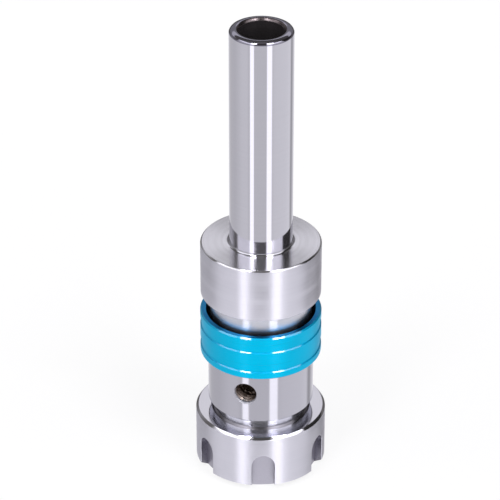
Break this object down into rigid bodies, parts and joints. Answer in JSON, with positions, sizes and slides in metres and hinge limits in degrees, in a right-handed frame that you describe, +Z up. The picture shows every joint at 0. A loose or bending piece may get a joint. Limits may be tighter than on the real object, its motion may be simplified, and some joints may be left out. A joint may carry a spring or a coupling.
{
  "type": "floating tool holder",
  "caption": "Straight-shank floating collet chuck with flange, blue cover ring, radial clamp screws and a slotted clamping nut.",
  "frame": {"origin": "centre of the clamping nut's front face, on the surface that the holder stands on", "axes": "+Z up along the shank; -Y towards the front, where a clamp screw shows; +X to the right seen from the front"},
  "size_m": [0.042, 0.042, 0.1554],
  "materials": {
    "ground_steel": "ground and polished",
    "turned_steel": "fine turned and polished",
    "nut_steel": "fine turned, milled slots",
    "hardened_steel": "ground",
    "black_oxide_steel": "black oxide",
    "blue_ring": "gloss",
    "cage_brass": "satin",
    "seal_rubber": "matt"
  },
  "bodies": {
    "shank": {"shank_body": "ground_steel", "upper_race": "hardened_steel", "thrust_collar": "hardened_steel", "collar_pins": "hardened_steel"},
    "cross_drive": {"cross_disc": "hardened_steel", "upper_ball_cage": "cage_brass", "upper_balls": "hardened_steel", "lower_ball_cage": "cage_brass", "lower_balls": "hardened_steel"},
    "chuck": {"collet_chuck": "turned_steel", "gland_nut": "hardened_steel", "gland_lock_screws": "black_oxide_steel", "lower_race": "hardened_steel", "buffer_ring": "seal_rubber", "dust_seal": "seal_rubber", "grip_ring": "seal_rubber"},
    "cover": {"cover_ring": "blue_ring"},
    "ejector": {"extraction_ring": "hardened_steel"},
    "nut": {"clamping_nut": "nut_steel", "nut_snap_ring": "black_oxide_steel"},
    "screw_1": {"clamp_screw_1": "black_oxide_steel"},
    "screw_2": {"clamp_screw_2": "black_oxide_steel"},
    "screw_3": {"clamp_screw_3": "black_oxide_steel"}
  },
  "joints": [
    {"name": "float_x", "type": "slide", "parent": "shank", "child": "cross_drive", "axis": [1, 0, 0], "range_m": [-0.0005, 0.0005]},
    {"name": "float_y", "type": "slide", "parent": "cross_drive", "child": "chuck", "axis": [0, 1, 0], "range_m": [-0.0005, 0.0005]},
    {"name": "cover_slide", "type": "slide", "parent": "chuck", "child": "cover", "axis": [0, 0, 1], "range_m": [0, 0.006]},
    {"name": "nut_travel", "type": "slide", "parent": "chuck", "child": "ejector", "axis": [0, 0, -1], "range_m": [0, 0.0121]},
    {"name": "nut_turn", "type": "hinge", "parent": "ejector", "child": "nut", "pos_m": [0, 0, 0.01], "axis": [0, 0, -1], "range_deg": [0, 2880]},
    {"name": "clamp_screw_1_travel", "type": "slide", "parent": "chuck", "child": "screw_1", "axis": [-0.2924, -0.9563, 0], "range_m": [-0.0023, 0.0045]},
    {"name": "clamp_screw_2_travel", "type": "slide", "parent": "chuck", "child": "screw_2", "axis": [0.9744, 0.225, 0], "range_m": [-0.0023, 0.0045]},
    {"name": "clamp_screw_3_travel", "type": "slide", "parent": "chuck", "child": "screw_3", "axis": [-0.682, 0.7314, 0], "range_m": [-0.0023, 0.0045]}
  ],
  "couplings": [
    {"joint": "nut_travel", "follows": "nut_turn", "m_per_rad": 0.00023873}
  ]
}
